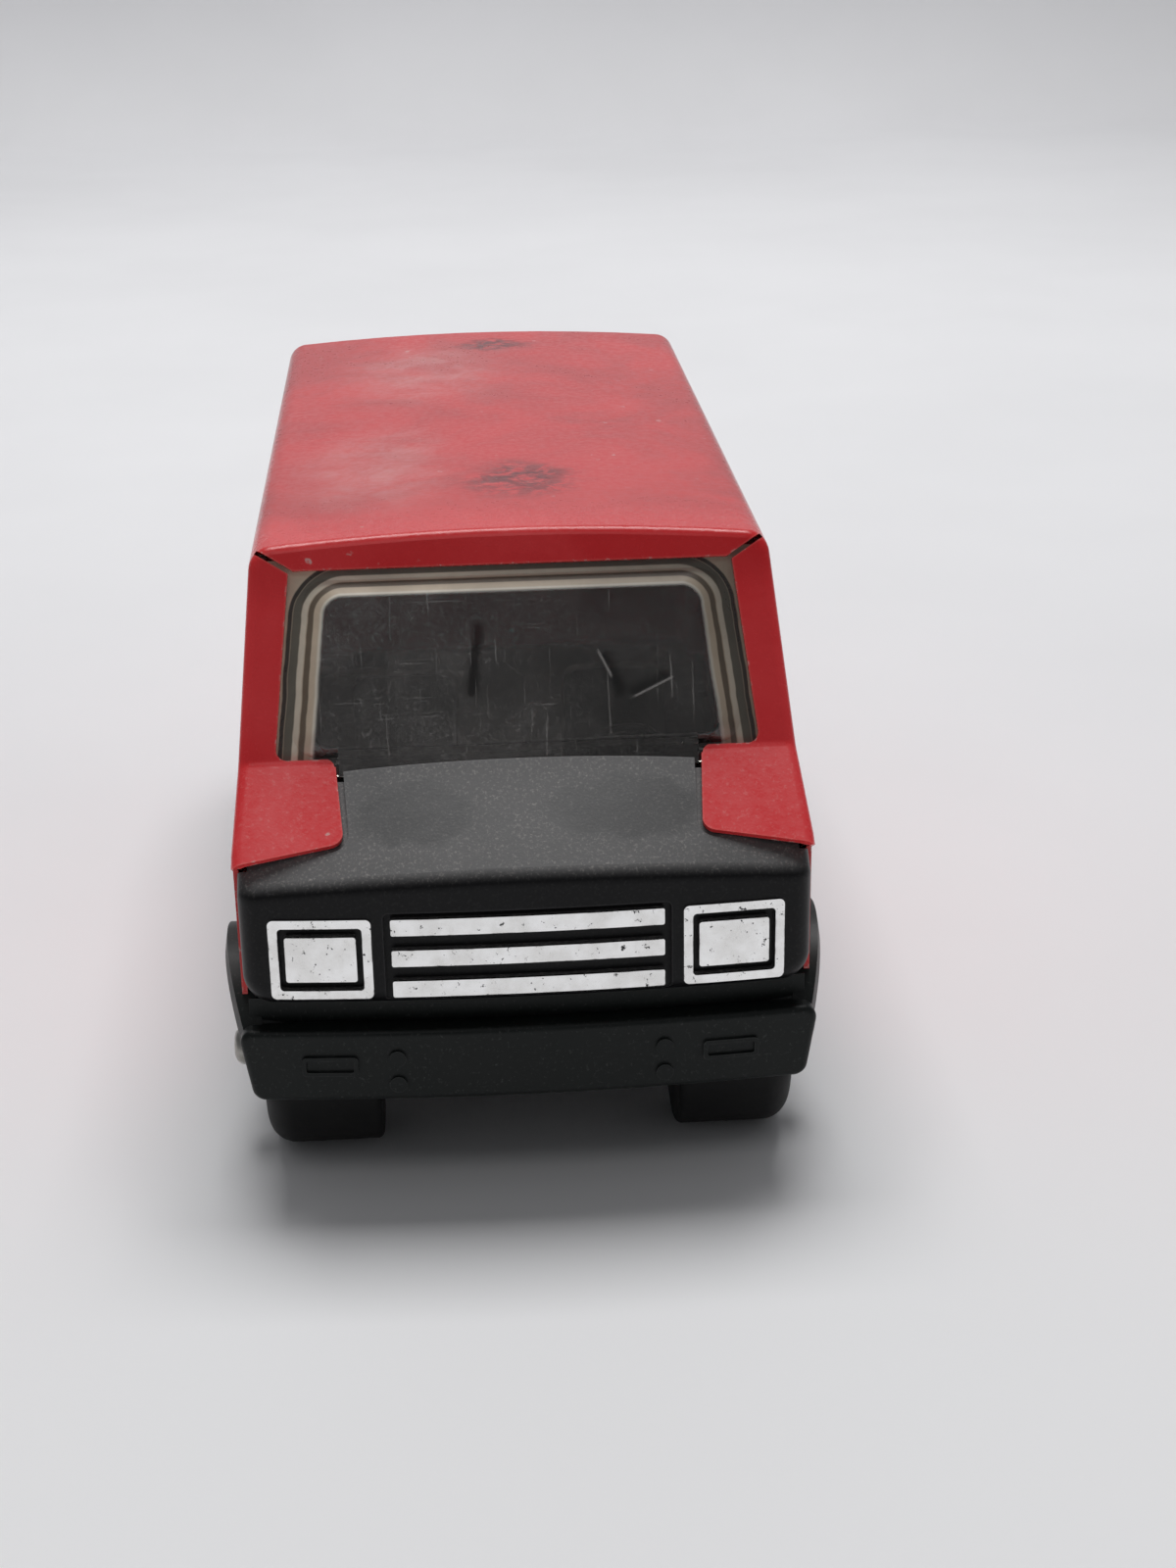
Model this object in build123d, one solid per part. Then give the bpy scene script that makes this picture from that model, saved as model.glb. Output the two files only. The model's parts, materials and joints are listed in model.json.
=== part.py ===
"""Push-along toy van: pressed-steel body over a moulded black chassis, clear glazing, steel axles.

Millimetres, +Z up. The nose points along -Y, so +X is the van's left. The origin is on the
ground, under the middle of the overall box. Heights below are measured from the body's datum,
which stands DATUM_Z above the ground. Each physical piece is written as its own STEP file.
"""
from build123d import *
import math
import os

# ---- overall ----------------------------------------------------------------------------------
FACE_Y = -88.0          # nose face on the centre line
BUMPER_Y = -88.2        # front bumper on the centre line
TAIL_Y = 88.35          # rear face of the rear bumper
TYRE_R = 14.7
DATUM_Z = 1.2
AXLE_Z = TYRE_R - DATUM_Z
FRONT_AXLE_Y = -68.0
REAR_AXLE_Y = 46.0
FAR = 150.0             # cutters reach this far past the part

# ---- pressed-steel body -----------------------------------------------------------------------
STEEL = 0.8             # painted sheet thickness
BODY_HALF = 41.0        # half width up to the belt
BODY_TOP_HALF = 37.5    # half width where the side meets the roof
BELT_Z = 50.0
ROOF_EDGE_Z = 87.2
ROOF_CROWN_Z = 88.9
ROOF_CORNER_R = 3.6
SILL_Z = 19.0           # lower edge of the side panels
FLAP_TOE = (-84.4, 50.0)        # (y, z) at the lower end of the wing flaps
SCREEN_FOOT = (-70.3, 59.6)     # (y, z) where the flaps fold up into the screen pillars
SCREEN_HEAD = (-56.6, 87.3)     # (y, z) on the roof's front crease
BODY_REAR_Y = 86.5
SIDE_FRONT_Y = -80.0    # front edge of the side panels, below the flaps
SKIRT_Z = (47.4, 49.7)  # the flap's side skirt, at the side panel and at its toe
FOOT_FOLD_R = 2.0       # hollow fold between flap and pillar
FOLD_R = 1.7            # outside radius of the other front folds
REAR_R = 3.0            # rounding round the rear face
ARCH_R = 18.9           # wheel cut-outs in the side panels
TAB_YS = (-36.0, 14.0, 74.0)    # tabs folded in under the chassis floor
TAB_W = 8.0
TAB_IN = 31.0
RIVET_X = 34.5
RIVET_R = 1.2

# ---- openings in the body ---------------------------------------------------------------------
SCREEN_CUT = [(34.8, 0.3), (32.0, 27.6)]   # (half width, height up the screen), foot and head
MITRE = (0.7, 5.6, 33.0)        # slit width, length and angle at the screen's head corners
FLAP_LEN = 13.9         # length of a flap's inner edge, down from the fold
FLAP_IN = (26.4, 25.2)  # half width between the flaps, at the fold and at the lower end
FLAP_R = (1.3, 2.0)     # rounding of a flap's inner corners, at the fold and at the lower end
SCREEN_FOOT_R = 1.6     # rounding of the screen opening's lower corners
DOOR_GLASS = [(-63.5, 60.0), (-36.0, 60.0), (-36.0, 78.0), (-54.8, 78.0)]
DOOR_PRESS = [(-67.5, 35.5), (-31.5, 35.5), (-31.5, 56.5), (-67.5, 56.5)]
SIDE_PRESS = [(-26.0, 44.0), (79.0, 44.0), (79.0, 76.0), (-26.0, 76.0)]
PRESS_W = 1.1           # width of a pressed line
PRESS_DEPTH = 0.35
REAR_CUT_HALF = 31.0
REAR_CUT_Z = (25.0, 80.0)

# ---- glazing ----------------------------------------------------------------------------------
NEST = 0.15             # gap between nested shells
GLASS = 1.2
PANE_RISE = 0.5         # the pane stands this far out of the pillars' outer plane
PANE_FLANGE = (2.2, 1.4)        # flat border round the sloped shoulder, at the sides and the head
PANE_BEVEL = (5.4, 4.0)         # flat border and shoulder together
PANE_FOOT_V = (0.6, 1.7)        # shoulder's lower end, at its foot and at the pane
PANE_R = (3.5, 2.5)     # corners of the shoulder's foot and of the pane
PANE_EDGE_R = 0.8
GLAZING_Z = (57.3, 83.0)
GLAZING_REAR_Y = -32.5
SCREEN_HEAD_V = 29.3    # glazing ends this far up the screen

# ---- nose moulding ----------------------------------------------------------------------------
CLIP_HALF = 40.4
CLIP_REAR_Y = -80.3     # rear edge of its side walls
BONNET_HALF = 38.8
BONNET_SKIRT_Z = 45.0
BOW_R = 370.0           # plan-view bow of the nose and bumper
CROWN = [(-8.0, 0.15, 0.76), (46.0, 0.83, 11.8)]   # down the slope: height, and drop at CROWN_HALF
CROWN_HALF = 60.0
CLIP_EDGE_R = 3.0       # lip, side and corner edges
REBATE = (0.8, 0.6)     # border round a flap, inboard and below
CLIP_FOOT_Z = 28.6
CLIP_FOOT_R = 4.5
CLIP_WALL = 2.0

# ---- lamps and grille -------------------------------------------------------------------------
LAMP_X, LAMP_Z = 29.1, 36.4
LAMP_W, LAMP_H = 14.4, 12.2
LAMP_RIM = 1.3
LENS_W, LENS_H = 10.0, 6.9
BAR_HALF = 19.2
BAR_H = 2.5
BAR_PITCH = 4.75
GRILLE_HALF = 20.2
POCKET = 0.9            # depth of the grille and lamp recesses
TRIM_FRONT = -0.35      # trim, behind the nose face
TRIM_BACK = 0.1
RIB_FRONT = 0.15

# ---- chassis ----------------------------------------------------------------------------------
BUMPER_Z = (13.8, 24.9)
BUMPER_HALF = (39.8, 41.7)      # at the foot and at the top
BUMPER_BACK_Y = -83.5
CHANNEL_Y = (-84.3, -81.9)      # dark recess between nose and bumper, front and back of its wall
FLOOR_Z = (21.0, 23.0)
CHASSIS_HALF = 39.8
CHASSIS_REAR_Y = 85.3
WELL_R = 16.6
WELL_IN = 20.5          # inner wall of a wheel well, from the centre line
WALL = 1.8
SKIRT_FOOT_Z = 13.5
LEDGE_Z = (17.2, 18.8)
FLARE_R = (15.9, 18.7)
FLARE_BALL_R = 44.5     # ball that bounds the flares
BEARING_Z = 10.6
PAD_HALF, PAD_LEN, PAD_Z = 9.0, 60.0, 15.6
RAIL_X, RAIL_Z = (12.0, 15.0), 17.5
MARKER_X, MARKER_Z, MARKER_W, MARKER_H = 28.7, 19.6, 8.0, 3.0
BOSS_X, BOSS_ZS, BOSS_R = 19.1, (20.7, 16.6), 1.25
EMBOSS = 0.45

# ---- wheels -----------------------------------------------------------------------------------
TYRE_X = (21.9, 38.9)
RIM_X = (22.4, 37.7)
WEB_X = (33.0, 35.0)     # the hub's web, between rim and boss
HUB_X = (21.2, 41.0)
RIM_R = 8.6
AXLE_R = 1.5
RUNNING = 0.06          # radial clearance of a running fit
AXLE_HALF = 43.0
CAP_R = 2.9
CAP_X = (41.5, 43.8)
SPOKES = 5

# ---- cab interior and rear door ---------------------------------------------------------------
TUB_Y = (-66.0, -28.0)
TUB_Z = (23.2, 24.8)
SEAT_X = 16.5
DASH_Z = (45.0, 55.0)
WHEEL_AT = (16.5, -55.5, 54.5)
WHEEL_TILT = 38.0
WHEEL_RING = (5.0, 0.7)
DOOR_Y = (84.6, 85.45)
DOOR_HALF = 34.0
DOOR_Z = (23.2, 83.0)
REAR_PANE_X = (3.5, 25.5)
REAR_PANE_Z = (56.0, 73.0)


# ---- helpers ----------------------------------------------------------------------------------
def unit(a, b):
    """Unit vector, in the YZ plane, from a to b."""
    d = math.dist(a, b)
    return (b[0] - a[0]) / d, (b[1] - a[1]) / d


def slope_plane(foot, head):
    """Plane on the line foot to head: X across, local y up the slope, facing forward and up."""
    sy, sz = unit(foot, head)
    return Plane(origin=(0, *foot), x_dir=(1, 0, 0), z_dir=(0, -sz, sy))


SCREEN = slope_plane(SCREEN_FOOT, SCREEN_HEAD)
FLAP = slope_plane(FLAP_TOE, SCREEN_FOOT)


def box(x, y, z):
    """Box from three (low, high) pairs."""
    size = [b - a for a, b in (x, y, z)]
    return Pos(*[(a + b) / 2 for a, b in (x, y, z)]) * Box(*size)


def rod_x(r, x0, x1, y, z):
    """Cylinder along X."""
    return Pos((x0 + x1) / 2, y, z) * Rot(0, 90, 0) * Cylinder(r, abs(x1 - x0))


def rod_z(r, x, y, z0, z1):
    """Cylinder along Z."""
    return Pos(x, y, (z0 + z1) / 2) * Cylinder(r, z1 - z0)


def both_sides(shape):
    """The shape and its mirror image across the centre line."""
    return shape + mirror(shape, about=Plane.YZ)


def side_prism(points, x0, x1, radius=0.0):
    """Solid from (y, z) points, between two stations along X."""
    sketch = make_face(Polyline(*points, close=True))
    if radius:
        sketch = fillet(sketch.vertices(), radius)
    return extrude(Plane.YZ.offset(x0) * sketch, amount=x1 - x0)


def front_prism(points, y0, y1, radius=0.0):
    """Solid from (x, z) points, between two stations along Y."""
    sketch = make_face(Polyline(*points, close=True))
    if radius:
        sketch = fillet(sketch.vertices(), radius)
    return extrude(Plane.XZ.offset(-y0) * sketch, amount=y0 - y1)


def rect(x, z, w, h, y0, y1, radius=0.0):
    """Rounded rectangle centred on (x, z), between two stations along Y."""
    a, b = w / 2, h / 2
    points = [(x - a, z - b), (x + a, z - b), (x + a, z + b), (x - a, z + b)]
    return front_prism(points, y0, y1, radius)


def slope_prism(plane, points, n0, n1):
    """Solid from points in a slope plane, between two heights along its normal."""
    return extrude(plane.offset(n0) * make_face(Polyline(*points, close=True)), amount=n1 - n0)


def mirrored(points):
    """Closed outline from its right half, listed from the foot up."""
    return points + [(-x, v) for x, v in reversed(points)]


def bow(y):
    """Everything behind the bowed front surface that crosses the centre line at y."""
    return Pos(0, y + BOW_R, 40) * Cylinder(BOW_R, 2 * FAR)


def layer(prism, y0, y1):
    """The part of a prism between two bowed surfaces."""
    return (prism & bow(y0)) - bow(y1)


def near(shape, *points):
    """The edges whose midpoints lie nearest the points."""
    edges = shape.edges()
    return [min(edges, key=lambda e: (e @ 0.5 - Vector(*p)).length) for p in points]


# ---- the body's form --------------------------------------------------------------------------
def on_slope(edge, inset):
    """True for an edge that lies in the screen's or the flaps' plane."""
    for plane in (SCREEN, FLAP):
        if all(abs(plane.to_local_coords(edge @ t).Z + inset) < 0.01 for t in (0, 0.5, 1)):
            return abs((edge @ 0.5).X) > 1 or (edge @ 0.5).Z > ROOF_EDGE_Z - 3
    return False


def body_form(inset):
    """Solid bounded by the body's outer surface, taken in by inset."""
    top = ROOF_CROWN_Z + 6
    sy, sz = unit(SCREEN_FOOT, SCREEN_HEAD)
    head = (SCREEN_HEAD[0] + sy / sz * (top - SCREEN_HEAD[1]), top)
    outline = [FLAP_TOE, SCREEN_FOOT, head, (BODY_REAR_Y, top), (BODY_REAR_Y, 0), (FLAP_TOE[0], 0)]
    side = Plane.YZ * make_face(Polyline(*outline, close=True))
    side = fillet(side.vertices().sort_by_distance((0, *SCREEN_FOOT))[0], FOOT_FOLD_R)
    half = [(0, 0), (BODY_HALF, 0), (BODY_HALF, BELT_Z), (BODY_TOP_HALF, ROOF_EDGE_Z)]
    other = [(-x, z) for x, z in reversed(half)]
    roof = ThreePointArc(half[-1], (0, ROOF_CROWN_Z), other[0])
    section = make_face(Polyline(*half) + roof + Polyline(*other))
    section = fillet(section.vertices().filter_by(lambda v: v.Y > ROOF_EDGE_Z - 1), ROOF_CORNER_R)
    if inset:
        side = offset(side, -inset, kind=Kind.INTERSECTION)
        section = offset(section, -inset, kind=Kind.INTERSECTION)
    form = extrude(side, FAR, both=True) & extrude(Plane.XZ * section, FAR, both=True)
    form = form.solid()
    rear = form.edges().filter_by(lambda e: (e @ 0.5).Y > BODY_REAR_Y - inset - 0.01 < (e @ 0).Y)
    form = fillet(rear.filter_by(lambda e: (e @ 0.5).Z > inset + 1), REAR_R - inset)
    front = form.edges().filter_by(lambda e: on_slope(e, inset))
    return fillet(front, FOLD_R - inset) if FOLD_R - inset > 0.3 else form


# ---- body -------------------------------------------------------------------------------------
def flap_line(gap_in, gap_low, reach):
    """Right flap's inner and lower edges in the FLAP plane, moved inboard and down by the gaps."""
    length = math.dist(FLAP_TOE, SCREEN_FOOT)
    foot = length - FLAP_LEN - gap_low
    return [(BODY_HALF, -gap_low), (FLAP_IN[1] - gap_in, foot), (FLAP_IN[0] - gap_in, length + reach)]


def flap_gap():
    """Cutter for the space between the two flaps and below their lower edges."""
    line = flap_line(0, 0, 1.5)
    sketch = make_face(Polyline(*mirrored([(60, -FAR), (60, -1)] + line), close=True))
    ends = sketch.vertices().filter_by(lambda v: abs(abs(v.X) - line[1][0]) < 0.01 and v.Y > 0)
    sketch = fillet(ends, FLAP_R[1])
    top = (FLAP_IN[0], math.dist(FLAP_TOE, SCREEN_FOOT) + SCREEN_CUT[0][1])
    radius = FLAP_R[0]
    corner = Pos(top[0], top[1] - radius / 2 + 1) * Rectangle(2 * radius, radius + 2)
    corner -= Pos(top[0] + radius, top[1] - radius) * Circle(radius)
    corner &= Pos(top[0], top[1]) * Rectangle(2 * radius, 2 * radius)
    sketch += corner + mirror(corner, about=Plane.YZ)
    return extrude(FLAP.offset(-3) * sketch, amount=6)


def screen_cut():
    """Cutter for the windscreen opening with its two mitre slits."""
    sketch = make_face(Polyline(*mirrored(SCREEN_CUT), close=True))
    sketch = fillet(sketch.vertices().filter_by(lambda v: v.Y < 1), SCREEN_FOOT_R)
    cut = extrude(SCREEN.offset(-4) * sketch, amount=8)
    width, length, angle = MITRE
    x, v = SCREEN_CUT[1]
    slit = SCREEN * Pos(x, v, 0) * Rot(0, 0, angle) * Pos(length / 2 - 1, 0, 0)
    return cut + both_sides(slit * Box(length + 2, width, 8))


def pressed_line(outline, radius):
    """Groove cutter that follows a closed outline on both flanks."""
    face = fillet(make_face(Polyline(*outline, close=True)).vertices(), radius)
    line = face - offset(face, -PRESS_W)
    return both_sides(extrude(Plane.YZ.offset(BODY_HALF - 8) * line, amount=9))


def tab(y, grow=0.0):
    """One tab folded in from the left side's lower edge."""
    z = (SILL_Z - grow, SILL_Z + STEEL + grow)
    return box((TAB_IN - grow, BODY_HALF), (y - TAB_W / 2 - grow, y + TAB_W / 2 + grow), z)


def body_shell():
    """One painted steel sheet: roof, sides, pillars, flaps and rear frame."""
    outer = body_form(0)
    shell = outer - body_form(STEEL)
    shell -= (pressed_line(DOOR_PRESS, 2.5) + pressed_line(SIDE_PRESS, 3)) - body_form(PRESS_DEPTH)
    shell -= box((-FAR, FAR), (-FAR, FAR), (-FAR, SILL_Z))
    front = [(-FAR, -FAR), (SIDE_FRONT_Y, -FAR), (SIDE_FRONT_Y, SKIRT_Z[0])]
    front += [(FLAP_TOE[0], SKIRT_Z[1]), (-FAR, SKIRT_Z[1])]
    shell -= side_prism(front, -FAR, FAR)
    shell -= flap_gap()
    shell -= screen_cut()
    for y in (FRONT_AXLE_Y, REAR_AXLE_Y):
        shell -= both_sides(rod_x(ARCH_R, 30, 60, y, AXLE_Z))
    shell -= side_prism(DOOR_GLASS, -FAR, FAR, 2.2)
    z0, z1 = REAR_CUT_Z
    shell -= rect(0, (z0 + z1) / 2, 2 * REAR_CUT_HALF, z1 - z0, 80, 95, 3)
    for y in TAB_YS:
        shell += both_sides(tab(y) - rod_z(RIVET_R + 0.1, RIVET_X, y, 0, 40))
    return shell


def rear_door_panel():
    """Steel panel behind the rear frame, with two window openings and a handle."""
    z0, z1 = DOOR_Z
    panel = rect(0, (z0 + z1) / 2, 2 * DOOR_HALF, z1 - z0, *DOOR_Y, 2)
    x0, x1 = REAR_PANE_X
    p0, p1 = REAR_PANE_Z
    panel -= both_sides(rect((x0 + x1) / 2, (p0 + p1) / 2, x1 - x0, p1 - p0, 80, 90, 2))
    panel -= box((-0.4, 0.4), (DOOR_Y[1] - PRESS_DEPTH, 90), (z0 + 4, z1 - 5))
    return panel + rect(5.5, 47, 5, 1.8, DOOR_Y[1] - 0.1, DOOR_Y[1] + 1.2, 0.6)


# ---- glazing ----------------------------------------------------------------------------------
def pane_outline(border, foot_v, radius):
    """Rounded outline inside the screen opening, in from its sides and head by a border."""
    (foot_x, _), (head_x, head_v) = SCREEN_CUT
    sides, head = border
    half = [(foot_x - sides, foot_v), (head_x - sides, head_v - head)]
    face = make_face(Polyline(*mirrored(half), close=True))
    return fillet(face.vertices(), radius)


def raised_pane(drop):
    """Pane on its sloped shoulder, with a rounded upper edge, sunk by drop."""
    low = SCREEN.offset(-STEEL - NEST - drop) * pane_outline(PANE_FLANGE, PANE_FOOT_V[0], PANE_R[0])
    high = SCREEN.offset(PANE_RISE - drop) * pane_outline(PANE_BEVEL, PANE_FOOT_V[1], PANE_R[1])
    pane = loft([low, high])
    top = [e for e in pane.edges() if abs(SCREEN.to_local_coords(e @ 0.5).Z - PANE_RISE + drop) < 0.01]
    return fillet(top, PANE_EDGE_R)


def windshield_glazing():
    """Clear moulding: screen with a raised bevelled pane, and a pane behind each door window."""
    gap = STEEL + NEST
    shell = body_form(gap) - body_form(gap + GLASS)
    behind = SCREEN * Pos(0, 0, -gap + 0.02 - FAR / 2) * Box(2 * FAR, 2 * FAR, FAR)
    sides = box((-FAR, FAR), (-FAR, GLAZING_REAR_Y), GLAZING_Z)
    screen = SCREEN * Pos(0, (SCREEN_HEAD_V - 10) / 2, -2) * Box(70, SCREEN_HEAD_V + 10, 8)
    shell = shell & behind & (sides + screen)
    shell -= box((-FAR, FAR), (-FAR, FAR), (-FAR, GLAZING_Z[0]))
    foot = [(FLAP_IN[0] - 0.6, -2.3), (FLAP_IN[0] - 0.6, PANE_FOOT_V[1] + 1.2)]
    shell += raised_pane(0) + slope_prism(SCREEN, mirrored(foot), -gap - GLASS, PANE_RISE)
    return shell - raised_pane(GLASS)


def rear_glazing():
    """Clear strip behind the rear door's two windows."""
    y1 = DOOR_Y[0] - NEST
    p0, p1 = REAR_PANE_Z
    return rect(0, (p0 + p1) / 2, 2 * REAR_PANE_X[1] + 5, p1 - p0 + 5, y1 - GLASS, y1, 1.5)


# ---- nose moulding ----------------------------------------------------------------------------
def crown(inset):
    """Everything under the bonnet's surface, which is more crowned towards the lip."""
    sy, sz = unit(FLAP_TOE, SCREEN_FOOT)
    faces = []
    for down, height, drop in CROWN:
        origin = (0, SCREEN_FOOT[0] - sy * down, SCREEN_FOOT[1] - sz * down)
        plane = Plane(origin=origin, x_dir=(1, 0, 0), z_dir=(0, -sy, -sz))
        top = height - inset
        ends = [(-CROWN_HALF, top - drop), (CROWN_HALF, top - drop)]
        arc = ThreePointArc(ends[0], (0, top), ends[1])
        rest = Polyline(ends[1], (CROWN_HALF, -CROWN_HALF), (-CROWN_HALF, -CROWN_HALF), ends[0])
        faces.append(plane * make_face(arc + rest))
    return loft(faces)


def nose(inset, foot_z, foot_r=0.0):
    """Full-width front of the moulding, ahead of the side panels."""
    half = CLIP_HALF - inset
    block = box((-half, half), (-95, CLIP_REAR_Y), (foot_z, 70))
    if foot_r:
        middle = (-95 + CLIP_REAR_Y) / 2
        block = fillet(near(block, (-half, middle, foot_z), (half, middle, foot_z)), foot_r)
    return (block & crown(inset) & bow(FACE_Y + inset)).solid()


def bonnet(inset, foot_z):
    """Narrower part of the moulding, under the flaps."""
    half = BONNET_HALF - inset
    return box((-half, half), (CLIP_REAR_Y - 0.5, -55), (foot_z, 70)) & crown(inset)


def rounded_nose():
    """The nose with its lip, side and corner edges rounded."""
    front = nose(0, CLIP_FOOT_Z, CLIP_FOOT_R)
    edges = near(front, (0, FACE_Y, FLAP_TOE[1] - 2.5))
    for x in (-CLIP_HALF, CLIP_HALF):
        edges += near(front, (x, -84, 47.5), (x, -86, 39))
    return fillet(edges, CLIP_EDGE_R)


def flap_rebates():
    """Cutter that lets the flaps in, with a narrow border inboard of and below them."""
    inner, low = REBATE
    line = flap_line(inner, low, 6)
    sketch = make_face(Polyline((60, -low), *line, (60, line[2][1]), close=True))
    sketch = fillet(sketch.vertices().sort_by_distance((*line[1], 0))[0], FLAP_R[1] + inner)
    return both_sides(extrude(FLAP.offset(-STEEL - NEST) * sketch, amount=6))


def lamp_rect(w, h, y0, y1, radius):
    """Both lamps' rectangle as a prism."""
    return both_sides(rect(LAMP_X, LAMP_Z, w, h, y0, y1, radius))


def bars():
    """The three grille bars as prisms."""
    rows = [LAMP_Z + BAR_PITCH * k for k in (-1, 0, 1)]
    prisms = [rect(0, z, 2 * BAR_HALF, BAR_H, -95, -80, 0.3) for z in rows]
    return prisms[0] + prisms[1] + prisms[2]


def front_clip():
    """Black nose moulding: crowned bonnet, rounded lip, bowed face with lamp and grille seats."""
    clip = rounded_nose() + bonnet(0, BONNET_SKIRT_Z)
    clip -= nose(CLIP_WALL, CLIP_FOOT_Z - 10) + bonnet(CLIP_WALL, CLIP_FOOT_Z - 10)
    behind = SCREEN * Pos(0, 0, PANE_RISE + NEST - FAR / 2) * Box(2 * FAR, 2 * FAR, FAR)
    clip -= behind & box((-FAR, FAR), (-FAR, FAR), (BONNET_SKIRT_Z - 0.1, FAR))
    clip -= flap_rebates()
    skirt = [(-84.8, 49.5), (CLIP_REAR_Y + 0.1, SKIRT_Z[0] - 0.3), (-75, SKIRT_Z[0] - 0.3)]
    skirt += [(-75, 70), (-84.8, 70)]
    clip -= both_sides(side_prism(skirt, BONNET_HALF, 60))
    height = 2 * BAR_PITCH + BAR_H + 1.6
    recess = rect(0, LAMP_Z, 2 * GRILLE_HALF, height, -95, -80, 0.8)
    inner = lamp_rect(LAMP_W - 2 * LAMP_RIM, LAMP_H - 2 * LAMP_RIM, -95, -80, 0.6)
    seats = layer(recess + inner, FACE_Y - 5, FACE_Y + POCKET)
    rim = lamp_rect(LAMP_W + 0.1, LAMP_H + 0.1, -95, -80, 0.8)
    seats += layer(rim, FACE_Y - 5, FACE_Y + RIB_FRONT)
    clip -= seats
    clip += layer(bars(), FACE_Y + RIB_FRONT, FACE_Y + POCKET + 0.2)
    return clip + layer(lamp_rect(LENS_W, LENS_H, -95, -80, 0.4), FACE_Y + RIB_FRONT, FACE_Y + POCKET + 0.2)


def lamp_bezel(side):
    """Silver frame round one lamp; side is 1 on the van's left."""
    frame = rect(side * LAMP_X, LAMP_Z, LAMP_W, LAMP_H, -95, -80, 0.8)
    frame -= rect(side * LAMP_X, LAMP_Z, LAMP_W - 2 * LAMP_RIM, LAMP_H - 2 * LAMP_RIM, -95, -80, 0.6)
    return layer(frame, FACE_Y + TRIM_FRONT, FACE_Y + TRIM_BACK)


def lamp_lens(side):
    """Silver lens of one lamp."""
    lens = rect(side * LAMP_X, LAMP_Z, LENS_W, LENS_H, -95, -80, 0.4)
    return layer(lens, FACE_Y + TRIM_FRONT, FACE_Y + TRIM_BACK)


def grille_bars():
    """Three silver bars across the nose."""
    return layer(bars(), FACE_Y + TRIM_FRONT, FACE_Y + TRIM_BACK)


# ---- chassis ----------------------------------------------------------------------------------
def front_bumper():
    """Bowed bumper with raised marker outlines and bolt bosses, and the recess wall above it."""
    foot, top = BUMPER_HALF
    z0, z1 = BUMPER_Z
    face = front_prism([(-foot, z0), (foot, z0), (top, z1), (-top, z1)], -95, BUMPER_BACK_Y, 2.0)
    bumper = face & bow(BUMPER_Y)
    bumper = fillet(near(bumper, (0, BUMPER_Y, z0)), 0.9)
    marker = rect(MARKER_X, MARKER_Z, MARKER_W, MARKER_H, -95, -80, 0.6)
    marker -= rect(MARKER_X, MARKER_Z, MARKER_W - 1.2, MARKER_H - 1.2, -95, -80, 0.3)
    raised = both_sides(marker)
    for z in BOSS_ZS:
        boss = Pos(BOSS_X, -87, z) * Rot(90, 0, 0) * Cylinder(BOSS_R, 16)
        raised += both_sides(boss)
    bumper += layer(raised, BUMPER_Y - EMBOSS, BUMPER_Y + 0.5)
    front, back = CHANNEL_Y
    bumper += box((-40, 40), (BUMPER_BACK_Y - 0.5, back), (z1 - 2.5, z1 - 0.3))
    wall = box((-40, 40), (-95, back), (z1 - 0.8, CLIP_FOOT_Z - 0.2))
    return bumper + (wall & bow(front))


def wheel_well(y):
    """Left wheel well as a solid, its cavity, and the flare on the arch."""
    block = rod_x(WELL_R + WALL, WELL_IN - WALL, CHASSIS_HALF - 0.2, y, AXLE_Z)
    cavity = rod_x(WELL_R, WELL_IN, 60, y, AXLE_Z)
    ring = rod_x(FLARE_R[1], CHASSIS_HALF - 1.5, 60, y, AXLE_Z)
    ring -= rod_x(FLARE_R[0], 0, 70, y, AXLE_Z)
    ball = Pos(0, y + 2, 24) * Sphere(FLARE_BALL_R)
    keep = box((0, 60), (BUMPER_BACK_Y - 1, FAR), (SKIRT_FOOT_Z, 60))
    return block & keep, cavity, ring & ball & keep


def bearing(y):
    """Left axle bearing web."""
    points = [(y - 8, FLOOR_Z[0] + 1), (y - 3.4, BEARING_Z), (y + 3.4, BEARING_Z), (y + 8, FLOOR_Z[0] + 1)]
    return side_prism(points, WELL_IN - WALL, WELL_IN, 0)


def skirts():
    """Left sill channel between and behind the wheels, with the ledge under the body's edge."""
    spans = [(FRONT_AXLE_Y + WELL_R + 1, REAR_AXLE_Y - WELL_R - 1)]
    spans += [(REAR_AXLE_Y + WELL_R + 1, CHASSIS_REAR_Y - 1)]
    out = []
    for span in spans:
        web = box((CHASSIS_HALF - WALL, CHASSIS_HALF), span, (SKIRT_FOOT_Z, FLOOR_Z[0] + 0.5))
        ledge = box((CHASSIS_HALF - WALL, BODY_HALF), (span[0] + 1.5, span[1]), LEDGE_Z)
        out.append(web + ledge)
    return out[0] + out[1]


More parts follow.
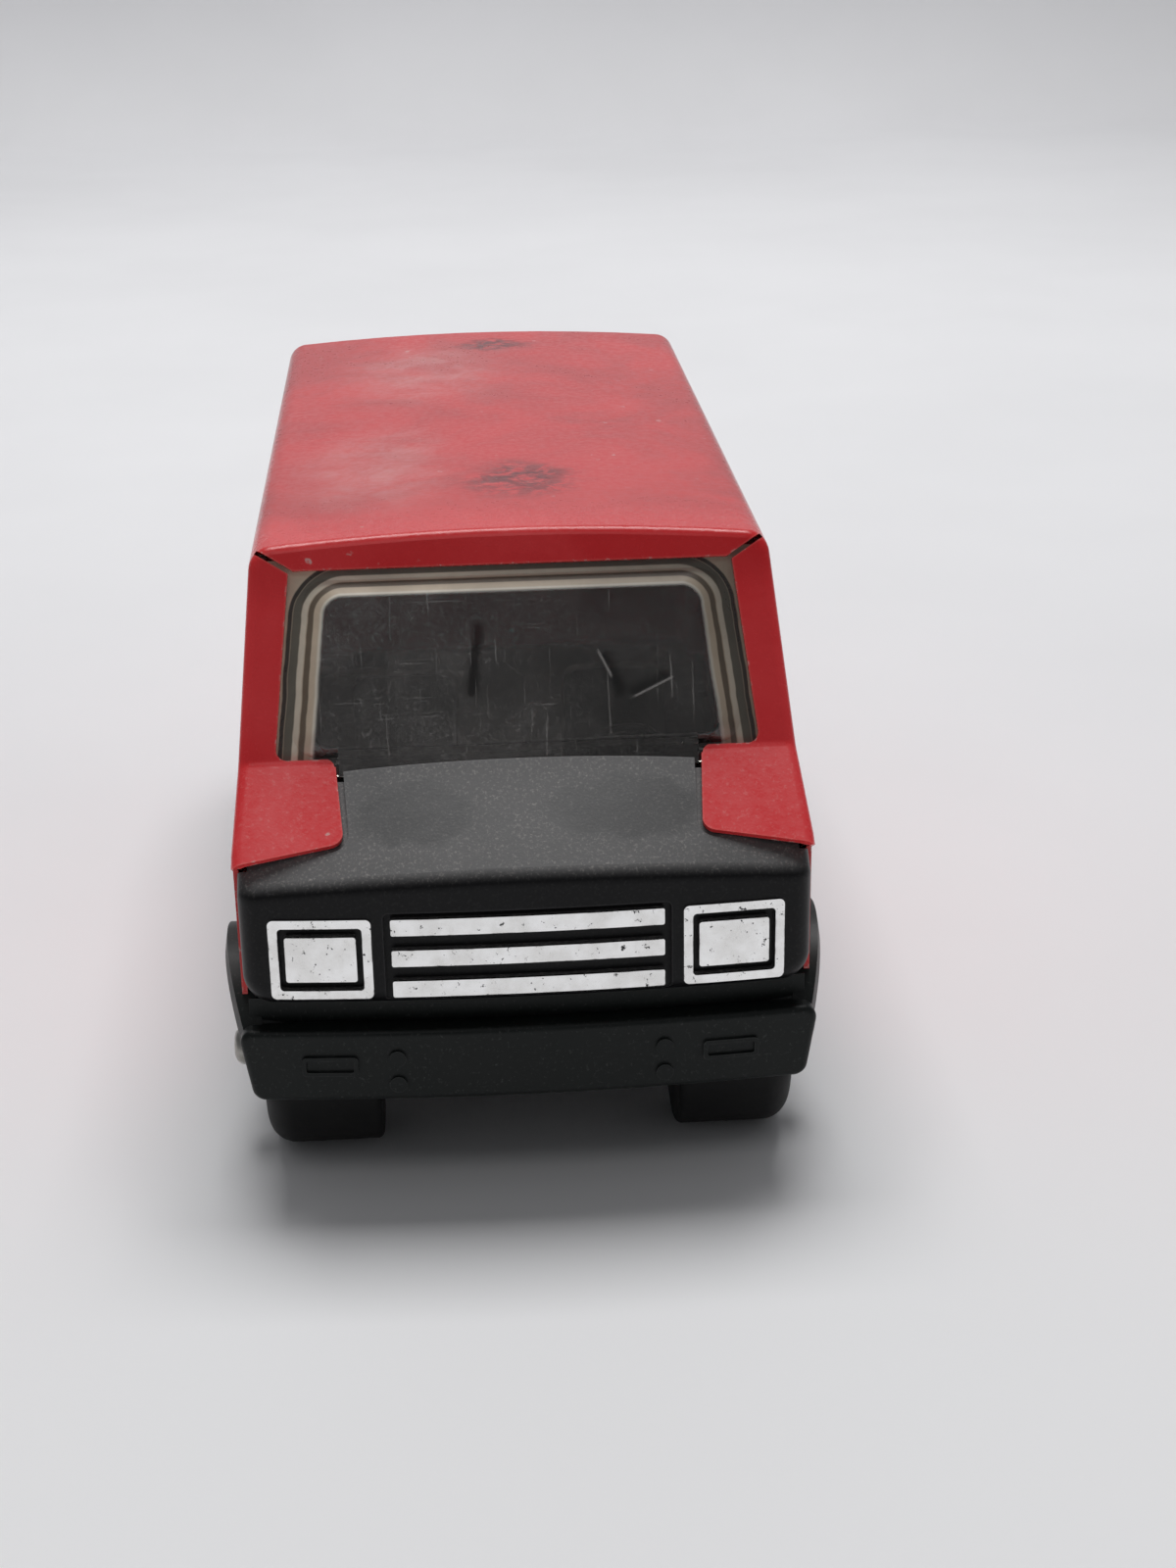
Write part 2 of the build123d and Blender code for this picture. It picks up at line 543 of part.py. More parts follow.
def chassis_base():
    """Black moulded chassis: floor, wheel wells, flares, sills, bearings and both bumpers."""
    base = box((-CHASSIS_HALF, CHASSIS_HALF), (BUMPER_BACK_Y - 0.5, CHASSIS_REAR_Y), FLOOR_Z)
    corners = [(x, CHASSIS_REAR_Y, sum(FLOOR_Z) / 2) for x in (-CHASSIS_HALF, CHASSIS_HALF)]
    base = fillet(near(base, *corners), REAR_R)
    wells = [wheel_well(y) for y in (FRONT_AXLE_Y, REAR_AXLE_Y)]
    for block, _, _ in wells:
        base += both_sides(block)
    base += both_sides(skirts())
    base += front_bumper()
    for _, cavity, _ in wells:
        base -= both_sides(cavity)
    for _, _, flare in wells:
        base += both_sides(flare)
    base += both_sides(box(RAIL_X, (BUMPER_BACK_Y - 0.5, 80), (RAIL_Z, FLOOR_Z[0] + 0.5)))
    for y in (-44, -8, 24, 68):
        base += box((-CHASSIS_HALF + 1, CHASSIS_HALF - 1), (y - 0.8, y + 0.8), (18.4, FLOOR_Z[0] + 0.5))
    base += box((-PAD_HALF, PAD_HALF), (-PAD_LEN / 2, PAD_LEN / 2), (PAD_Z, FLOOR_Z[0] + 0.5))
    for y in (FRONT_AXLE_Y, REAR_AXLE_Y):
        base += both_sides(bearing(y))
    z0, z1 = BUMPER_Z[0] + 1, BUMPER_Z[1] - 0.2
    foot, top = BUMPER_HALF
    points = [(-foot, z0), (foot, z0), (top, z1), (-top, z1)]
    base += front_prism(points, BODY_REAR_Y + 0.3, TAIL_Y, 1.2)
    base += box((-36, 36), (77.7, TAIL_Y - 0.8), (15.6, 18.7))
    base += box((-36, 36), (77.7, 79), (18, FLOOR_Z[0] + 0.5))
    for y in TAB_YS:
        base += both_sides(rod_z(3, RIVET_X, y, SILL_Z + STEEL + NEST, FLOOR_Z[0] + 0.5))
        base -= both_sides(tab(y, NEST))
        base -= both_sides(rod_z(RIVET_R + 0.1, RIVET_X, y, 0, 40))
    for y in (FRONT_AXLE_Y, REAR_AXLE_Y):
        base -= rod_x(AXLE_R + RUNNING, -60, 60, y, AXLE_Z)
    return base


def chassis_rivets():
    """Six identical rivets through the body's tabs and the chassis floor."""
    rivets = []
    for y in TAB_YS:
        for x in (-RIVET_X, RIVET_X):
            rivet = rod_z(RIVET_R, x, y, SILL_Z - 0.5, FLOOR_Z[1] + 0.5)
            head = rod_z(2.3, x, y, SILL_Z - 1.1, SILL_Z - 0.05)
            head = fillet(near(head, (x, y + 2.3, SILL_Z - 1.1), (x, y - 2.3, SILL_Z - 1.1)), 0.6)
            rivets.append(rivet + head + rod_z(1.9, x, y, FLOOR_Z[1] + 0.05, FLOOR_Z[1] + 0.7))
    return Part() + rivets


# ---- wheels -----------------------------------------------------------------------------------
def turned(points, rounds, side, y):
    """Solid turned about the axle from (x, r) points; rounds maps a point's index to a radius."""
    face = make_face(Polyline(*points, close=True))
    for index, radius in rounds.items():
        x, r = points[index]
        face = fillet(face.vertices().sort_by_distance((x, r, 0))[0], radius)
    body = revolve(face, Axis.X)
    if side < 0:
        body = mirror(body, about=Plane.YZ)
    return Pos(0, y, AXLE_Z) * body


def tyre(side, y):
    """Smooth black tyre with a soft outer shoulder."""
    x0, x1 = TYRE_X
    bore = RIM_R + 0.05
    points = [(x0, bore), (x0, TYRE_R), (x1, TYRE_R), (x1, bore + 1.1), (x1 - 0.9, bore + 0.5)]
    points.append((x1 - 0.9, bore))
    return turned(points, {1: 1.0, 2: 4.0}, side, y)


def hub(side, y):
    """Wheel hub: rim, web, raised spokes and a bored boss."""
    bore = AXLE_R + RUNNING
    (h0, h1), (r0, r1), (w0, w1) = HUB_X, RIM_X, WEB_X
    points = [(h0, bore), (h0, 3.4), (w0, 3.4), (w0, 7.2), (r0, 7.2), (r0, RIM_R)]
    points += [(r1, RIM_R), (r1, 7.4), (w1, 6.8), (w1, 3.4), (h1, 3.0), (h1, bore)]
    body = turned(points, {}, side, y)
    for k in range(SPOKES):
        spoke = Rot(360 / SPOKES * k, 0, 0) * Pos(side * (w1 + 0.6), 0, 4.9) * Box(2, 1.9, 4.6)
        body += Pos(0, y, AXLE_Z) * spoke
    return body


def axle(y):
    """Plain steel rod."""
    return rod_x(AXLE_R, -AXLE_HALF, AXLE_HALF, y, AXLE_Z)


def cap(side, y):
    """Push-on end cap."""
    x0, x1 = CAP_X
    bore = AXLE_R + 0.02
    points = [(x0, bore), (x0, CAP_R), (x1, CAP_R), (x1, 0), (AXLE_HALF + 0.1, 0)]
    points.append((AXLE_HALF + 0.1, bore))
    return turned(points, {2: 1.6}, side, y)


# ---- cab interior -----------------------------------------------------------------------------
def seat():
    """Left seat: cushion and back."""
    cushion = box((SEAT_X - 8.5, SEAT_X + 8.5), (-47.5, -33), (TUB_Z[1] - 0.5, 36))
    cushion = fillet(cushion.edges().filter_by(Axis.X), 1.8)
    back = Box(16, 4.5, 26)
    back = fillet(back.edges().filter_by(Axis.Y), 2.5)
    return cushion + Pos(SEAT_X, -33.5, 46) * Rot(-8, 0, 0) * back


def interior_tub():
    """Dark tub: floor, front wall, dash and two seats."""
    y0, y1 = TUB_Y
    clear = WELL_IN - WALL - 0.5
    rear_of_well = FRONT_AXLE_Y + WELL_R + WALL + 0.5
    tub = box((-36, 36), (rear_of_well, y1), TUB_Z) + box((-clear, clear), (y0, y1), TUB_Z)
    tub += box((-clear, clear), (y0, y0 + 1.5), (TUB_Z[0], DASH_Z[1] - 1))
    profile = [(y0, DASH_Z[0]), (y0 + 7.5, DASH_Z[0]), (y0 + 8.5, 51), (y0 + 6, DASH_Z[1]), (y0, DASH_Z[1])]
    tub += side_prism(profile, -36.5, 36.5, 0.8)
    tub += both_sides(seat())
    socket = Pos(*WHEEL_AT) * Rot(WHEEL_TILT - 90, 0, 0) * Pos(0, 0, -6)
    tub -= both_sides(rod_z(2.2, RIVET_X, TAB_YS[0], TUB_Z[0] - 1, TUB_Z[1] + 1))
    return tub - socket * Cylinder(0.95, 12)


def steering_wheel():
    """Ring, three spokes and the column that enters the dash, on the van's left."""
    ring_r, wire_r = WHEEL_RING
    wheel = Torus(ring_r, wire_r) + Cylinder(1.6, 1.2)
    for k in range(3):
        wheel += Rot(0, 0, 90 + 120 * k) * Pos(ring_r / 2, 0, 0) * Box(ring_r, 1.1, 0.8)
    wheel += Pos(0, 0, -4.5) * Cylinder(0.8, 9)
    return Pos(*WHEEL_AT) * Rot(WHEEL_TILT - 90, 0, 0) * wheel


# ---- export -----------------------------------------------------------------------------------
CORNERS = {
    "front_left": (1, FRONT_AXLE_Y),
    "front_right": (-1, FRONT_AXLE_Y),
    "rear_left": (1, REAR_AXLE_Y),
    "rear_right": (-1, REAR_AXLE_Y),
}


def all_nodes():
    """Every piece, by node name."""
    nodes = {
        "body_shell": body_shell(),
        "rear_door_panel": rear_door_panel(),
        "front_clip": front_clip(),
        "chassis_base": chassis_base(),
        "windshield_glazing": windshield_glazing(),
        "rear_glazing": rear_glazing(),
        "interior_tub": interior_tub(),
        "steering_wheel": steering_wheel(),
        "headlight_bezel_left": lamp_bezel(1),
        "headlight_bezel_right": lamp_bezel(-1),
        "headlight_lens_left": lamp_lens(1),
        "headlight_lens_right": lamp_lens(-1),
        "grille_bars": grille_bars(),
        "chassis_rivets": chassis_rivets(),
        "front_axle": axle(FRONT_AXLE_Y),
        "rear_axle": axle(REAR_AXLE_Y),
    }
    for name, (side, y) in CORNERS.items():
        nodes["tyre_" + name] = tyre(side, y)
        nodes["wheel_hub_" + name] = hub(side, y)
        nodes["axle_cap_" + name] = cap(side, y)
    return nodes


def main():
    os.makedirs("parts", exist_ok=True)
    for name, shape in all_nodes().items():
        export_step(Pos(0, 0, DATUM_Z) * shape, f"parts/{name}.step")


if __name__ == "__main__":
    main()
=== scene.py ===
"""Looks for the push-along toy van: procedural materials, a pale sweep, soft light and the camera."""

import json
import math

import bmesh
import bpy
from mathutils import Matrix, Vector

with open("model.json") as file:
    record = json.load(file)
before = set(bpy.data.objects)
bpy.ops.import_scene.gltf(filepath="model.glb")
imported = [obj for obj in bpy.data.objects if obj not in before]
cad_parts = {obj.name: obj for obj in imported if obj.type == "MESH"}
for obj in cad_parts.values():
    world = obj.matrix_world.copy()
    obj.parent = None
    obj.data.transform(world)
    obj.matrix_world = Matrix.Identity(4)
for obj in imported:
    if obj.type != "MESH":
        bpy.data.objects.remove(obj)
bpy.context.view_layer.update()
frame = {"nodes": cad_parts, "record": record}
MM = 0.001

# ---- camera ---------------------------------------------------------------------------------
CAMERA_AT = (-10.8 * MM, -397.5 * MM, 188.5 * MM)
CAMERA_YAW = 0.06298        # radians, to the right of +Y
CAMERA_PITCH = 0.38488      # radians below the horizon
CAMERA_ROLL = -0.01726
CAMERA_LENS = 56.25         # mm on a 36 mm sensor

# ---- sweep, in metres -----------------------------------------------------------------------
SWEEP_HALF = 2.4            # half its width
SWEEP_NEAR = -1.6           # y of its front edge
SWEEP_FAR = 1.06            # y where the floor starts to bend up
SWEEP_BEND = 0.09           # radius of the bend
SWEEP_TOP = 1.5             # height of the backdrop
BEND_STEPS = 10
PAPER_LIGHT_Y = (-0.3, 0.12) # painted light: the paper is drawn brightest near the camera, fading to its usual tone between these

# ---- light ----------------------------------------------------------------------------------
SOFTBOXES = {               # place and aim in metres, size, power in watts
    "top_box": ((0.03, 0.43, 1.25), (0.02, 0.25, 0), (0.8, 0.6), 13.4),
    "front_box": ((-0.2, -0.85, 1.5), (0, -0.2, 0), (0.9, 0.5), 1.4),
}
WORLD_TINT = (0.96, 0.97, 1.0, 1)
WORLD_LEVEL = 0.15

# ---- wear on the paint ----------------------------------------------------------------------
HAZE_AND_SHEEN = 0.17                 # share of pale haze on upward faces: dust, and painted sheen of the light from above
BLOOM = 0.42                # share of the pale patches on the roof
ROOF_Z = (80, 88)           # mm: the roof's own wear, and its deeper painted red, fade in between these heights
ROOF_FRONT_Y = (-54, -34)        # mm: brighter red at the roof's front edge fades out between these
BLOOMS = (                  # pale patches on the roof, in mm
    dict(centre=(-19, -16, 90), size=(17, 34, 20), soft=0.95, warp=20, scale=60),
    dict(centre=(-11, 50, 90), size=(22, 36, 20), soft=0.95, warp=20, scale=60),
)
SCUFFS = (                  # dark rub marks on the roof
    dict(centre=(2.5, -28, 90), size=(13, 14, 6), soft=0.8, warp=16, scale=95),
    dict(centre=(1.5, 72, 90), size=(9, 7, 6), soft=0.75, warp=10, scale=150),
)
SMUDGES = (                 # rubbed places in the bonnet's dust
    dict(centre=(-15, -78.5, 56), size=(11, 6.5, 8), soft=0.4, warp=4, scale=300),
    dict(centre=(15, -78.5, 56), size=(14, 6.5, 8), soft=0.4, warp=4, scale=300),
)

# ---- windscreen: its slope, as the foot and the head of the screen --------------------------
DATUM = 1.2 * MM            # height of the body's own zero above the floor
SCREEN_FOOT = Vector((0, -70.3 * MM, 59.6 * MM + DATUM))
SCREEN_HEAD = Vector((0, -56.6 * MM, 87.3 * MM + DATUM))
SCREEN_BACK_Y = (-52, -50)  # mm: the border fades out behind the screen
PANE_HALF = 29.4 * MM       # half width of the pane at the screen's foot
PANE_TAPER = 0.1026         # how much narrower it gets per length up the screen
PANE_TOP = 23.6 * MM
PANE_R = 2.6 * MM
BAND_SOFT = 0.25            # mm over which a band fades
PAINTED_BORDER_LINES = (            # painted highlight and shade lines in the frosted border: start and end in mm from the pane, colour
    (-0.1, 0.35, (244, 236, 220)),
    (1.5, 2.1, (120, 106, 90)),
    (2.5, 3.1, (238, 228, 208)),
    (3.3, 4.3, (112, 108, 96)),
    (4.6, 5.0, (70, 64, 58)),
)

# ---- marks on the pane: mm across the screen and up from its foot ---------------------------
LONG_RUB = dict(start=(-6.5, 8), end=(-5, 19.5), width=1.6)
RUBS = (
    dict(start=(12.5, 14.5), end=(15.5, 7.5), width=1.8),
    dict(start=(16, 7.8), end=(22.5, 11), width=1.5, share=0.9),
)
NICKS = (
    dict(start=(11.8, 14.8), end=(14, 10.2), width=0.35),
    dict(start=(16.5, 7.4), end=(23, 10.4), width=0.3),
)
STROKE_TIP = 1              # mm over which a mark's ends fade


def srgb(r, g, b):
    """Linear RGBA from 0-255 display values."""
    steps = (r, g, b)
    return tuple(((c / 255 + 0.055) / 1.055) ** 2.4 if c > 10 else c / 255 / 12.92 for c in steps) + (1,)


def metres(sizes):
    """A tuple of mm in metres."""
    return tuple(size * MM for size in sizes)


class Graph:
    """A small builder of shader node trees."""

    def __init__(self, name):
        self.mat = bpy.data.materials.new(name)
        self.mat.use_nodes = True
        self.tree = self.mat.node_tree
        self.tree.nodes.clear()
        self.out = self.tree.nodes.new("ShaderNodeOutputMaterial")
        self.coord = self.tree.nodes.new("ShaderNodeTexCoord").outputs["Object"]

    def put(self, socket, value):
        """Links an output to the socket, or sets its value."""
        if isinstance(value, bpy.types.NodeSocket):
            self.tree.links.new(value, socket)
        else:
            socket.default_value = value

    def node(self, kind, inputs=None, **props):
        """A node of that kind with its properties and inputs set."""
        made = self.tree.nodes.new("ShaderNode" + kind)
        for key, value in props.items():
            setattr(made, key, value)
        for key, value in (inputs or {}).items():
            self.put(made.inputs[key], value)
        return made

    def math(self, op, a, b=0.0):
        return self.node("Math", {0: a, 1: b}, operation=op).outputs[0]

    def add(self, a, b):
        return self.math("ADD", a, b)

    def sub(self, a, b):
        return self.math("SUBTRACT", a, b)

    def mul(self, a, b):
        return self.math("MULTIPLY", a, b)

    def size(self, a):
        return self.math("ABSOLUTE", a)

    def most(self, first, *others):
        """The largest of the values."""
        for other in others:
            first = self.math("MAXIMUM", first, other)
        return first

    def vector(self, op, a, b):
        return self.node("VectorMath", {0: a, 1: b}, operation=op).outputs[0]

    def stretch(self, scale, turn=(0, 0, 0)):
        """Object coordinates turned and scaled."""
        return self.node("Mapping", {"Vector": self.coord, "Scale": scale, "Rotation": turn}).outputs[0]

    def noise(self, scale, detail=4.0, rough=0.55, warp=0.0, at=None):
        """Noise from 0 to 1; scale is in features per metre."""
        inputs = {"Vector": at or self.coord, "Scale": scale, "Detail": detail, "Roughness": rough}
        inputs["Distortion"] = warp
        return self.node("TexNoise", inputs).outputs["Fac"]

    def ramp(self, value, low, high, out=(0.0, 1.0)):
        """value from low to high, mapped smoothly to out."""
        inputs = {"Value": value, "From Min": low, "From Max": high, "To Min": out[0], "To Max": out[1]}
        return self.node("MapRange", inputs, interpolation_type="SMOOTHSTEP").outputs[0]

    def fall(self, value, low, high):
        """1 below low, fading to 0 at high."""
        return self.ramp(value, low, high, (1.0, 0.0))

    def mix(self, share, a, b):
        """Colour a to colour b."""
        made = self.node("Mix", data_type="RGBA")
        for socket, value in ((made.inputs[0], share), (made.inputs[6], a), (made.inputs[7], b)):
            self.put(socket, value)
        return made.outputs[2]

    def lerp(self, share, a, b):
        """Number a to number b."""
        made = self.node("Mix", data_type="FLOAT")
        for socket, value in ((made.inputs[0], share), (made.inputs[2], a), (made.inputs[3], b)):
            self.put(socket, value)
        return made.outputs[0]

    def axes(self):
        """x, y and z of the object coordinates."""
        return self.node("SeparateXYZ", {0: self.coord}).outputs

    def facing_up(self, low, high):
        """1 on faces whose normal's z is over high, 0 where it is under low."""
        normal = self.node("TexCoord").outputs["Normal"]
        return self.ramp(self.node("SeparateXYZ", {0: normal}).outputs[2], low, high)

    def edges(self, radius, low=0.02, high=0.25):
        """1 along edges sharper than the radius."""
        bevel = self.node("Bevel", {"Radius": radius}, samples=6).outputs[0]
        flat = self.node("NewGeometry").outputs["Normal"]
        dot = self.node("VectorMath", {0: bevel, 1: flat}, operation="DOT_PRODUCT").outputs["Value"]
        return self.ramp(self.sub(1.0, dot), low, high)

    def spot(self, centre, size, soft, warp, scale):
        """1 inside an ellipsoid in mm, fading at its edge; noise of that scale ruffles it by warp."""
        cloud = self.node("TexNoise", {"Vector": self.coord, "Scale": scale, "Detail": 3.0})
        shift = self.vector("SUBTRACT", cloud.outputs["Color"], (0.5, 0.5, 0.5))
        shift = self.node("VectorMath", {0: shift, 3: warp * MM}, operation="SCALE").outputs[0]
        local = self.vector("SUBTRACT", self.vector("ADD", self.coord, shift), metres(centre))
        local = self.vector("DIVIDE", local, metres(size))
        far = self.node("VectorMath", {0: local}, operation="LENGTH").outputs["Value"]
        return self.fall(far, 1.0 - soft, 1.0)

    def spots(self, marks):
        """1 inside any of the marks."""
        return self.most(*(self.spot(**mark) for mark in marks))

    def stroke(self, u, v, start, end, width, share=1.0):
        """share along a short straight mark from start to end in mm, with u and v as its coordinates."""
        (u0, v0), (u1, v1) = start, end
        length = math.dist(start, end)
        cu, cv = (u1 - u0) / length, (v1 - v0) / length
        du, dv = self.sub(u, u0 * MM), self.sub(v, v0 * MM)
        along = self.add(self.mul(du, cu), self.mul(dv, cv))
        across = self.size(self.sub(self.mul(dv, cu), self.mul(du, cv)))
        inside = self.size(self.sub(along, length / 2 * MM))
        body = self.fall(inside, (length / 2 - STROKE_TIP) * MM, length / 2 * MM)
        return self.mul(self.mul(body, self.fall(across, 0.0, width * MM)), share)

    def bump(self, height, distance, strength=1.0, under=None):
        """Normal from a height field; distance is in metres."""
        inputs = {"Height": height, "Distance": distance, "Strength": strength}
        if under:
            inputs["Normal"] = under
        return self.node("Bump", inputs).outputs[0]

    def shader(self, **inputs):
        """A Principled shader; names use _ for a space."""
        made = self.node("BsdfPrincipled")
        for key, value in inputs.items():
            self.put(made.inputs[key.replace("_", " ")], value)
        return made.outputs[0]

    def finish(self, surface):
        self.put(self.out.inputs["Surface"], surface)
        return self.mat


def red_paint():
    """Worn glossy enamel: pale bloom and dark scuffs on the roof, chips on the folds, fine grain; painted
    sheen, glints, edge highlights and two painted tones of red.
    """
    g = Graph("red_paint")
    _, y, z = g.axes()
    up = g.facing_up(0.55, 0.95)
    roof = g.ramp(z, *metres(ROOF_Z))
    cloud = g.noise(38, 5, 0.6, 0.6)
    fine = g.noise(900, 3, 0.6)

    # Painted light: one paint in two tones. The sides, pillars and flaps get a brighter red to make up for
    # the weak light from the front, and the roof gets a deeper red.
    colour = g.mix(g.ramp(cloud, 0.3, 0.8), srgb(224, 42, 48), srgb(236, 52, 58))
    roof_red_painted_deeper = g.mix(g.ramp(cloud, 0.35, 0.65), srgb(178, 16, 24), srgb(204, 28, 36))
    colour = g.mix(roof, colour, roof_red_painted_deeper)

    # Dust and painted sheen: the pale haze on upward faces also stands for the light falling from above,
    # and the upward faces under the roof get twice the share.
    haze_and_sheen = g.mul(up, g.ramp(cloud, 0.35, 0.72, (0.45, 1.0)))
    haze_and_sheen = g.mul(haze_and_sheen, g.ramp(fine, 0.3, 0.7, (0.75, 1.0)))
    # A strip at the roof's front edge: less haze and a brighter red.
    roof_front_strip = g.mul(roof, g.fall(y, *metres(ROOF_FRONT_Y)))
    haze_and_sheen = g.mul(haze_and_sheen, g.sub(1.0, g.mul(roof_front_strip, 0.6)))
    colour = g.mix(g.mul(roof_front_strip, 0.6), colour, srgb(228, 38, 44))
    colour = g.mix(g.ramp(cloud, 0.3, 0.7, (0.03, 0.09)), colour, srgb(214, 150, 148))
    colour = g.mix(g.mul(haze_and_sheen, g.lerp(roof, 2.0 * HAZE_AND_SHEEN, HAZE_AND_SHEEN)), colour, srgb(206, 104, 106))

    # Painted glints: the paint's fine grain is drawn as pale pink specks on upward faces, more on the flaps
    # than on the roof.
    peel_glints = g.ramp(g.noise(1300, 2, 0.7), 0.56, 0.7)
    peel_glint_share = g.mul(g.mul(up, peel_glints), g.lerp(roof, 0.22, 0.06))
    colour = g.mix(peel_glint_share, colour, srgb(240, 170, 166))
    bloom = g.mul(g.spots(BLOOMS), g.ramp(g.noise(110, 5, 0.68, 0.8), 0.36, 0.66, (0.25, 1.0)))
    colour = g.mix(g.mul(g.mul(bloom, roof), BLOOM), colour, srgb(214, 166, 164))

    streak = g.ramp(g.noise(1.0, 4, 0.6, at=g.stretch((60, 420, 60), (0, 0, 0.5))), 0.62, 0.78, (0.0, 0.12))
    hair = g.ramp(g.noise(1.0, 3, 0.6, at=g.stretch((25, 900, 60), (0, 0, -0.7))), 0.68, 0.74, (0.0, 0.16))
    colour = g.mix(g.mul(up, g.most(streak, hair)), colour, srgb(228, 160, 156))
    scuffs = g.mul(g.spots(SCUFFS), g.ramp(g.noise(300, 4, 0.7, 0.5), 0.36, 0.56))
    colour = g.mix(g.mul(scuffs, 0.85), colour, srgb(74, 30, 36))

    edge = g.edges(0.6 * MM, 0.01, 0.2)
    chips = g.ramp(g.noise(620, 4, 0.7), 0.56, 0.63)
    # Painted highlight: a lighter red line along every edge. The pale chips drawn over it are real wear.
    colour = g.mix(g.mul(edge, 0.45), colour, srgb(236, 112, 106))
    colour = g.mix(g.mul(g.mul(edge, chips), 0.8), colour, srgb(206, 190, 182))
    flecks = g.mul(g.ramp(g.noise(340, 2, 0.4), 0.74, 0.77), 0.6)
    colour = g.mix(g.mul(flecks, g.ramp(fine, 0.4, 0.6)), colour, srgb(216, 196, 190))

    rough = g.add(g.lerp(haze_and_sheen, 0.24, 0.42), g.ramp(fine, 0.3, 0.7, (-0.04, 0.05)))
    normal = g.bump(g.noise(2600, 2, 0.5), 0.05 * MM, 0.35)
    normal = g.bump(g.noise(160, 2, 0.5), 0.12 * MM, 0.35, normal)
    return g.finish(g.shader(Base_Color=colour, Roughness=rough, Normal=normal, Coat_Weight=0.12,
                             Coat_Roughness=0.14, Specular_IOR_Level=0.25))


def nose_plastic():
    """Black moulded plastic with dust on its upper faces, rubbed away in rounded smudges; the dust also
    paints the sheen from above and the lip's highlight.
    """
    g = Graph("nose_plastic")
    up = g.facing_up(0.25, 0.8)
    speck = g.ramp(g.noise(2100, 3, 0.75), 0.5, 0.75)
    # Dust and painted sheen: the pale dust on upward faces also stands for the light from above, and
    # reaches over the lip as its painted highlight.
    dust = g.mul(up, g.ramp(g.noise(55, 4, 0.6, 0.8), 0.3, 0.7, (0.62, 1.0)))
    dust = g.mul(dust, g.sub(1.0, g.mul(g.spots(SMUDGES), 0.62)))
    colour = g.mix(g.mul(dust, 0.32), srgb(14, 14, 16), srgb(148, 146, 146))
    colour = g.mix(g.mul(g.mul(dust, speck), 0.42), colour, srgb(190, 184, 178))
    colour = g.mix(g.mul(speck, 0.04), colour, srgb(150, 148, 146))
    colour = g.mix(g.mul(g.edges(0.5 * MM), 0.16), colour, srgb(130, 128, 130))
    normal = g.bump(g.noise(3200, 2, 0.5), 0.04 * MM, 0.3)
    normal = g.bump(g.noise(120, 2, 0.5), 0.15 * MM, 0.3, normal)
    return g.finish(g.shader(Base_Color=colour, Roughness=g.lerp(dust, 0.36, 0.58), Normal=normal,
                             Specular_IOR_Level=g.lerp(up, 0.2, 0.6)))


def chassis_plastic():
    """Black moulded plastic, faintly green, with light dust and scuffed edges."""
    g = Graph("chassis_plastic")
    cloud = g.noise(70, 4, 0.6, 0.5)
    speck = g.ramp(g.noise(1700, 3, 0.75), 0.56, 0.78)
    colour = g.mix(g.ramp(cloud, 0.3, 0.75), srgb(17, 21, 20), srgb(25, 29, 28))
    colour = g.mix(g.mul(speck, 0.12), colour, srgb(150, 152, 148))
    edge = g.mul(g.edges(0.35 * MM), g.ramp(g.noise(300, 3, 0.6), 0.35, 0.65))
    colour = g.mix(g.mul(edge, 0.2), colour, srgb(110, 112, 110))
    rough = g.ramp(cloud, 0.2, 0.8, (0.36, 0.52))
    normal = g.bump(g.noise(2800, 2, 0.5), 0.04 * MM, 0.3)
    normal = g.bump(g.noise(90, 2, 0.5), 0.2 * MM, 0.3, normal)
    return g.finish(g.shader(Base_Color=colour, Roughness=rough, Normal=normal, Specular_IOR_Level=0.24))


def past_pane(g, x, v, wobble):
    """Distance outside the pane's rounded outline, in metres, and less than 0 inside it."""
    side = g.add(g.add(g.size(x), g.mul(v, PANE_TAPER)), wobble)
    past_side = g.most(g.sub(side, PANE_HALF - PANE_R), 0.0)
    past_top = g.most(g.sub(v, PANE_TOP - PANE_R), 0.0)
    corner = g.node("CombineXYZ", {0: past_side, 1: past_top}).outputs[0]
    far = g.node("VectorMath", {0: corner}, operation="LENGTH").outputs["Value"]
    return g.sub(far, PANE_R)


def border_colour(g, x, out):
    """The frosted border's warm aged tone with painted highlight and shade lines, darker towards one side.
    """
    aged_tone_and_painted_lines = srgb(224, 206, 182)
    # Painted highlights and shade: light and dark lines stand for the rounded shoulder catching the light.
    for start, end, colour in PAINTED_BORDER_LINES:
        band = g.mul(g.ramp(out, (start - BAND_SOFT) * MM, start * MM),
                     g.fall(out, end * MM, (end + BAND_SOFT) * MM))
        aged_tone_and_painted_lines = g.mix(band, aged_tone_and_painted_lines, srgb(*colour))
    return g.mix(g.ramp(x, -20 * MM, 30 * MM, (1.0, 0.55)), srgb(30, 28, 25), aged_tone_and_painted_lines)


def pane_film(g, x, v, wobble, cloud):
    """Share of dust and scratches over the clear pane."""
    speck = g.ramp(g.noise(2000, 4, 0.8), 0.5, 0.68)
    scratch_a = g.noise(1.0, 2, 0.5, at=g.stretch((2600, 90, 90), (0, 0.6, 0.3)))
    scratch_b = g.noise(1.0, 2, 0.5, at=g.stretch((90, 90, 2300), (0.5, -0.7, 0)))
    lines = g.most(g.ramp(scratch_a, 0.66, 0.74), g.ramp(scratch_b, 0.68, 0.76))
    left = g.ramp(x, -4 * MM, 16 * MM, (1.0, 0.45))
    dust = g.mul(g.mul(left, g.ramp(cloud, 0.35, 0.7, (0.5, 1.0))), g.lerp(speck, 0.4, 1.25))
    rubbed = g.most(g.stroke(g.add(x, wobble), v, **LONG_RUB), *(g.stroke(x, v, **rub) for rub in RUBS))
    dust = g.mul(dust, g.sub(1.0, g.mul(rubbed, 0.95)))
    nicks = g.most(*(g.stroke(x, v, **nick) for nick in NICKS))
    return g.add(g.add(g.mul(dust, 0.30), g.mul(lines, 0.2)), g.mul(nicks, 0.4))


